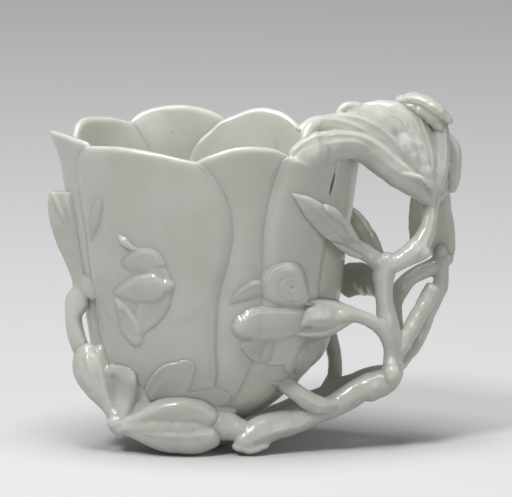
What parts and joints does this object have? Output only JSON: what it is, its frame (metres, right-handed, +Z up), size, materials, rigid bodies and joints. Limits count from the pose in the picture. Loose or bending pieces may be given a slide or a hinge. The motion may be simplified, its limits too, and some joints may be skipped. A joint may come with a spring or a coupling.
{
  "type": "jade magnolia wine cup",
  "caption": "Pale jade wine cup carved as an open magnolia, with an openwork magnolia branch as its handle.",
  "frame": {"origin": "middle of the foot's resting face", "axes": "+X towards the branch handle, +Y to the back, +Z up"},
  "size_m": [0.0984, 0.0599, 0.0845],
  "materials": {
    "bowl_jade": "soft waxy polish",
    "carved_jade": "soft waxy polish",
    "branch_jade": "soft waxy polish",
    "rear_jade": "soft waxy polish"
  },
  "bodies": {
    "root": {"back_bloom_large_petal": "carved_jade", "base_calyx": "carved_jade", "base_petal_curl": "carved_jade", "base_petal_low": "carved_jade", "base_petal_lower": "carved_jade", "base_petal_side": "carved_jade", "base_petal_upper": "carved_jade", "bowl_base": "bowl_jade", "crown_calyx": "branch_jade", "crown_petal_arm": "branch_jade", "crown_petal_front": "branch_jade", "crown_petal_outer": "branch_jade", "crown_petal_rear": "branch_jade", "crown_petal_rear_upper": "branch_jade", "crown_petal_right": "branch_jade", "crown_petal_rolled": "branch_jade", "crown_petal_top": "branch_jade", "crown_petal_upper": "branch_jade", "foot": "bowl_jade", "handle_bloom_stem": "branch_jade", "handle_crossing_twig": "branch_jade", "handle_cut_twig": "branch_jade", "handle_foot_branch": "branch_jade", "handle_leaf_bud": "branch_jade", "handle_leaf_twig": "branch_jade", "handle_long_leaf": "branch_jade", "handle_small_leaf": "branch_jade", "handle_trunk": "branch_jade", "handle_upper_branch": "branch_jade", "left_bloom_curl": "carved_jade", "left_bloom_lower_petal": "carved_jade", "left_bloom_middle_petal": "carved_jade", "left_bloom_outer_petal": "carved_jade", "left_bloom_upper_petal": "carved_jade", "left_bud_inner": "carved_jade", "left_bud_middle": "carved_jade", "left_bud_outer": "carved_jade", "left_bud_stem": "carved_jade", "left_wall_leaf": "carved_jade", "rear_broad_leaf": "rear_jade", "rear_foot_branch": "rear_jade", "rear_leaf": "rear_jade", "rear_outer_branch": "rear_jade", "rear_rising_twig": "rear_jade", "rear_small_leaf": "rear_jade", "right_bloom_bud": "carved_jade", "right_bloom_calyx": "carved_jade", "right_bloom_large_petal": "carved_jade", "right_bloom_left_petal": "carved_jade", "right_bloom_small_petal": "carved_jade", "right_bloom_under_petal": "carved_jade", "wall_petal_back_handle": "bowl_jade", "wall_petal_back_left": "bowl_jade", "wall_petal_back_middle": "bowl_jade", "wall_petal_back_right": "bowl_jade", "wall_petal_front_left": "bowl_jade", "wall_petal_front_middle": "bowl_jade", "wall_petal_front_right": "bowl_jade", "wall_petal_handle_side": "bowl_jade", "wall_petal_left_tip": "bowl_jade"}
  },
  "joints": []
}
